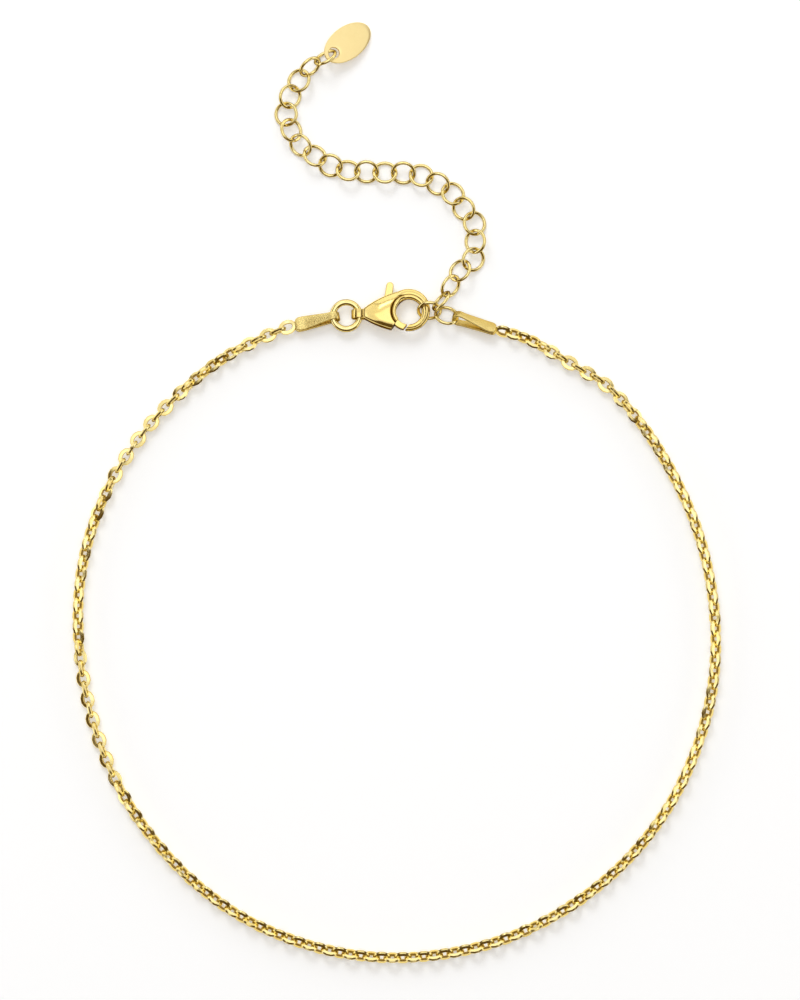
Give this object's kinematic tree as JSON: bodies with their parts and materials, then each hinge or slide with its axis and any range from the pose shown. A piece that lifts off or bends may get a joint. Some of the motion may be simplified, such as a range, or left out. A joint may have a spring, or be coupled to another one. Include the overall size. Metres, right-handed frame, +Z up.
{
  "type": "chain anklet",
  "caption": "Closed loop of fine oval chain with folded end tags, lobster clasp, extender of small rings and an oval end tag, lying flat.",
  "frame": {"origin": "on the surface the anklet lies on, under the middle of its bounding box", "axes": "+X to the right across the loop, +Y from the loop towards the clasp and the extender, +Z up from the surface"},
  "size_m": [0.0815, 0.1179, 0.003],
  "materials": {
    "chain": "polished yellow gold plate with flat diamond-cut facets",
    "rings": "polished drawn wire, yellow gold plate",
    "clasp": "polished casting, yellow gold plate",
    "end_tags": "finely grained strip, yellow gold plate",
    "oval_tag": "satin sheet with a polished rim, yellow gold plate"
  },
  "bodies": {
    "anklet": {"main_chain": "chain", "left_end_tag": "end_tags", "right_end_tag": "end_tags", "jump_ring": "rings", "clasp_body": "clasp", "clasp_pin": "clasp", "extender_ring_01": "rings", "extender_ring_02": "rings", "extender_ring_03": "rings", "extender_ring_04": "rings", "extender_ring_05": "rings", "extender_ring_06": "rings", "extender_ring_07": "rings", "extender_ring_08": "rings", "extender_ring_09": "rings", "extender_ring_10": "rings", "extender_ring_11": "rings", "extender_ring_12": "rings", "extender_ring_13": "rings", "extender_ring_14": "rings", "extender_ring_15": "rings", "extender_ring_16": "rings", "extender_ring_17": "rings", "extender_ring_18": "rings", "extender_ring_19": "rings", "extender_ring_20": "rings", "extender_ring_21": "rings", "extender_ring_22": "rings", "extender_ring_23": "rings", "extender_ring_24": "rings", "extender_ring_25": "rings", "oval_tag": "oval_tag"},
    "gate": {"clasp_gate": "clasp"}
  },
  "joints": [
    {"name": "gate_hinge", "type": "hinge", "parent": "anklet", "child": "gate", "pos_m": [-0.00134, 0.02253, 0.00136], "axis": [0, 0.1736, 0.9848], "range_deg": [0, 20], "stiffness_Nm_per_rad": 0.005, "springref_deg": -14.32}
  ]
}
